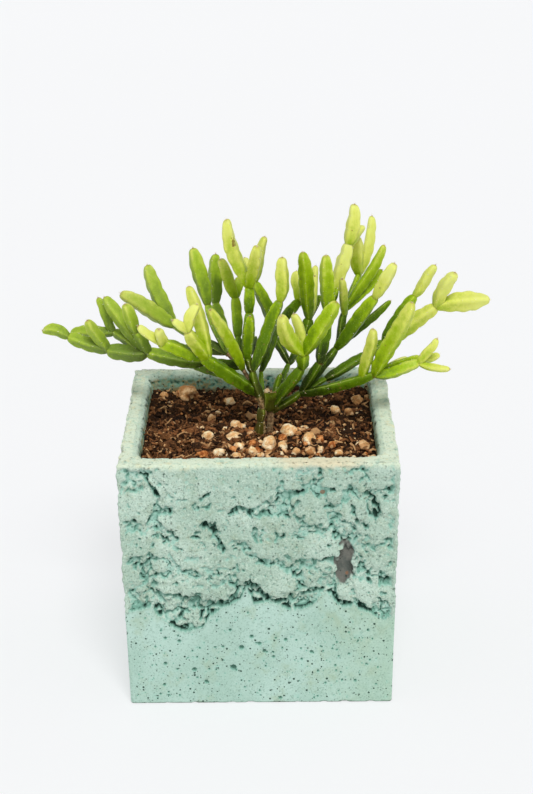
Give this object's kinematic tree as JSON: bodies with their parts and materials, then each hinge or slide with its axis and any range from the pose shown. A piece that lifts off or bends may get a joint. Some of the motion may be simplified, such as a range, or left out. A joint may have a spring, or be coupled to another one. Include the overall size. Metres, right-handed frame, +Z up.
{
  "type": "potted mistletoe cactus",
  "caption": "Mistletoe cactus with branching sprays of ribbed stem segments, rooted in soil with loose grains in a square, rough-faced cast concrete pot.",
  "frame": {"origin": "middle of the flat underside of the pot, on the surface that the pot stands on", "axes": "+Z up, -Y out of the pot's front face, +X to the right seen from the front"},
  "size_m": [0.1844, 0.11, 0.1891],
  "materials": {
    "concrete": "matte",
    "soil": "matte",
    "old_stem": "satin",
    "stem": "satin",
    "young_stem": "satin",
    "cream": "matte",
    "tan": "matte",
    "rust": "matte"
  },
  "bodies": {
    "root": {"pot": "concrete", "soil": "soil", "trunk_left": "old_stem", "trunk_right": "old_stem", "spray_low_left": "young_stem", "spray_far_left": "stem", "spray_upper_left": "stem", "spray_mid_left": "stem", "spray_centre": "stem", "spray_back": "stem", "spray_front_right": "young_stem", "spray_back_right": "stem", "spray_upper_right": "young_stem", "spray_right": "stem", "spray_low_right": "young_stem", "spray_far_right": "young_stem", "grain_cream_1": "cream", "grain_cream_2": "cream", "grain_cream_3": "cream", "grain_cream_4": "cream", "grain_cream_5": "cream", "grain_cream_6": "cream", "grain_cream_7": "cream", "grain_cream_8": "cream", "grain_cream_9": "cream", "grain_cream_10": "cream", "grain_cream_11": "cream", "grain_cream_12": "cream", "grain_cream_13": "cream", "grain_tan_1": "tan", "grain_tan_2": "tan", "grain_tan_3": "tan", "grain_tan_4": "tan", "grain_tan_5": "tan", "grain_tan_6": "tan", "grain_tan_7": "tan", "grain_tan_8": "tan", "grain_rust_1": "rust", "grain_rust_2": "rust", "grain_rust_3": "rust", "grain_rust_4": "rust"}
  },
  "joints": []
}
